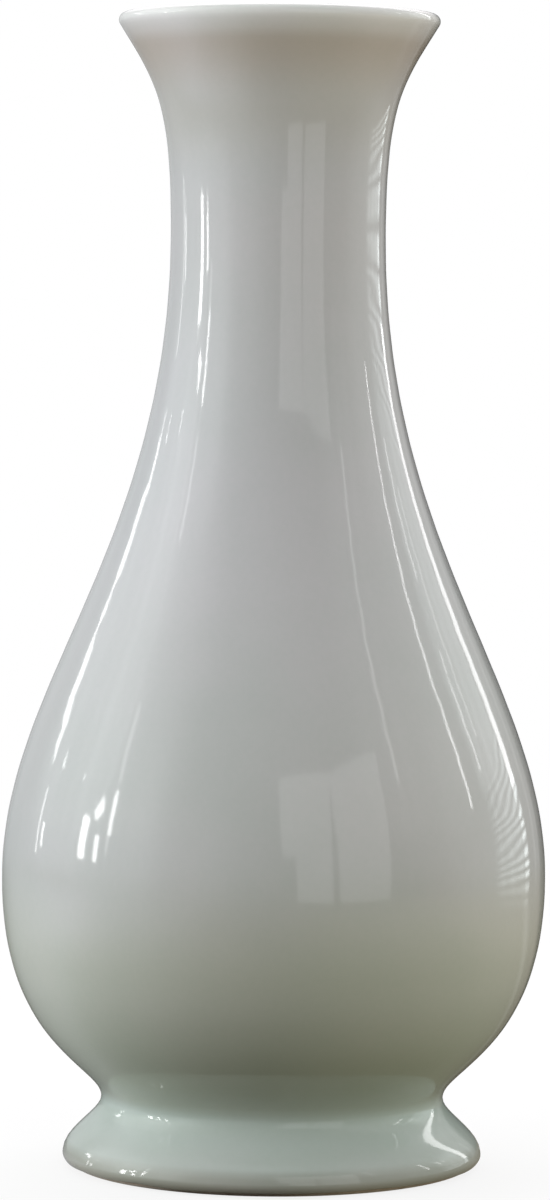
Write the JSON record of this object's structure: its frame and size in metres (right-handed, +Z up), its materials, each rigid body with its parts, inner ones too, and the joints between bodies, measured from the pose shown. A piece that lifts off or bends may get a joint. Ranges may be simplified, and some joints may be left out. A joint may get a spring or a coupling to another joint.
{
  "type": "ceramic vase",
  "caption": "Pear-shaped celadon porcelain vase with a flared mouth, slender neck, full low belly, narrow waist and splayed hollow foot, for cut flowers.",
  "frame": {"origin": "centre of the bare ring that the vase stands on, in the plane of the table", "axes": "+Z up along the vase's axis, towards the mouth; the vase is round, so +X and +Y are any two square directions"},
  "size_m": [0.0946, 0.0946, 0.2],
  "materials": {
    "porcelain": "bare fired clay, matt and fine grained",
    "luting_slip": "fired slip, matt",
    "celadon_glaze": "pale grey-green celadon, glossy"
  },
  "bodies": {
    "root": {"mouth_and_neck": "porcelain", "neck_slip_seam": "luting_slip", "upper_belly": "porcelain", "belly_slip_seam": "luting_slip", "lower_belly": "porcelain", "foot_slip_seam": "luting_slip", "foot_ring": "porcelain", "outer_glaze": "celadon_glaze", "inner_glaze": "celadon_glaze", "base_glaze": "celadon_glaze"}
  },
  "joints": []
}
